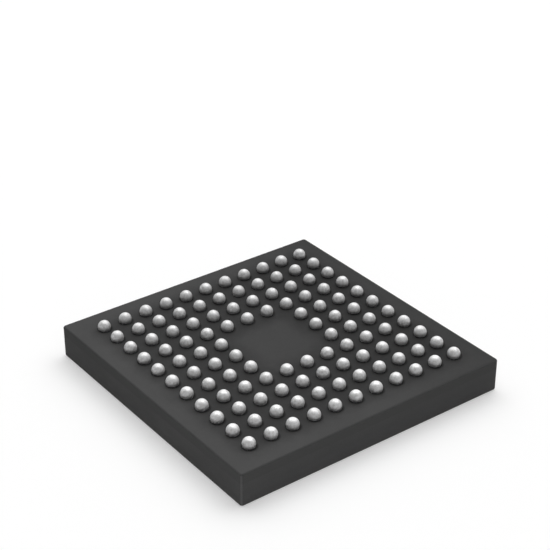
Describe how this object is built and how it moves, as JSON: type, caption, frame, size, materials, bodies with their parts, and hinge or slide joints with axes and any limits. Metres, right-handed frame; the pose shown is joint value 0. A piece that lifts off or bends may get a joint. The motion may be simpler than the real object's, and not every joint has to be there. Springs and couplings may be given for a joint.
{
  "type": "ball grid microcontroller",
  "caption": "Square black chip package lying on its moulded face, with a grid of silver solder balls on its upper side and an empty square in the middle of the grid.",
  "frame": {"origin": "middle of the flat moulded face, which the part lies on", "axes": "+Z out of the ball side, +X towards ball column 1, +Y towards ball row A"},
  "size_m": [0.01, 0.01, 0.0014],
  "materials": {
    "mould_compound": "matt black filled epoxy",
    "substrate": "matt black solder mask over laminate",
    "silicon": "dark grey silicon",
    "die_adhesive": "grey silver-filled adhesive",
    "bond_wire": "bright gold",
    "solder": "frosted tin-silver-copper solder"
  },
  "bodies": {
    "root": {"mould_compound": "mould_compound", "substrate": "substrate", "die": "silicon", "die_attach": "die_adhesive", "bond_wires_right": "bond_wire", "bond_wires_back": "bond_wire", "bond_wires_left": "bond_wire", "bond_wires_front": "bond_wire", "solder_balls_row_a": "solder", "solder_balls_row_b": "solder", "solder_balls_row_c": "solder", "solder_balls_row_d": "solder", "solder_balls_row_e": "solder", "solder_balls_row_f": "solder", "solder_balls_row_g": "solder", "solder_balls_row_h": "solder", "solder_balls_row_j": "solder", "solder_balls_row_k": "solder", "solder_balls_row_l": "solder"}
  },
  "joints": []
}
